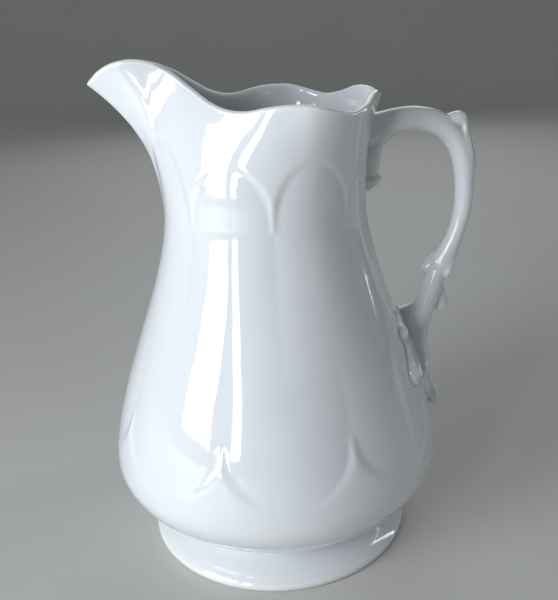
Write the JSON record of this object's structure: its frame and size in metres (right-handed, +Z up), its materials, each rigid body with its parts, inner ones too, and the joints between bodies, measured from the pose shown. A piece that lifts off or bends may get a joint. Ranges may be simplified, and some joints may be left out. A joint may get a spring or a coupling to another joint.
{
  "type": "water jug",
  "caption": "Large footed pouring jug in white glazed ironstone, with a pulled spout, a scalloped rim and a branch handle, for water on a table or washstand.",
  "frame": {"origin": "middle of the jug's own box, spout and handle included, on the surface that it stands on", "axes": "+Z up along the jug's axis, the spout towards -X, the handle towards +X, Y across"},
  "size_m": [0.23, 0.2064, 0.3001],
  "materials": {
    "body_glaze": "glossy",
    "foot_glaze": "glossy",
    "handle_glaze": "glossy"
  },
  "bodies": {
    "root": {"wall_left_half": "body_glaze", "wall_right_half": "body_glaze", "base_disc": "body_glaze", "foot_ring": "foot_glaze", "handle_branch": "handle_glaze", "fork_web": "handle_glaze", "thumb_leaf": "handle_glaze", "upper_leaf": "handle_glaze", "inner_knot": "handle_glaze", "end_bud": "handle_glaze", "outer_twig": "handle_glaze", "lower_leaf_left": "handle_glaze", "lower_leaf_right": "handle_glaze"}
  },
  "joints": []
}
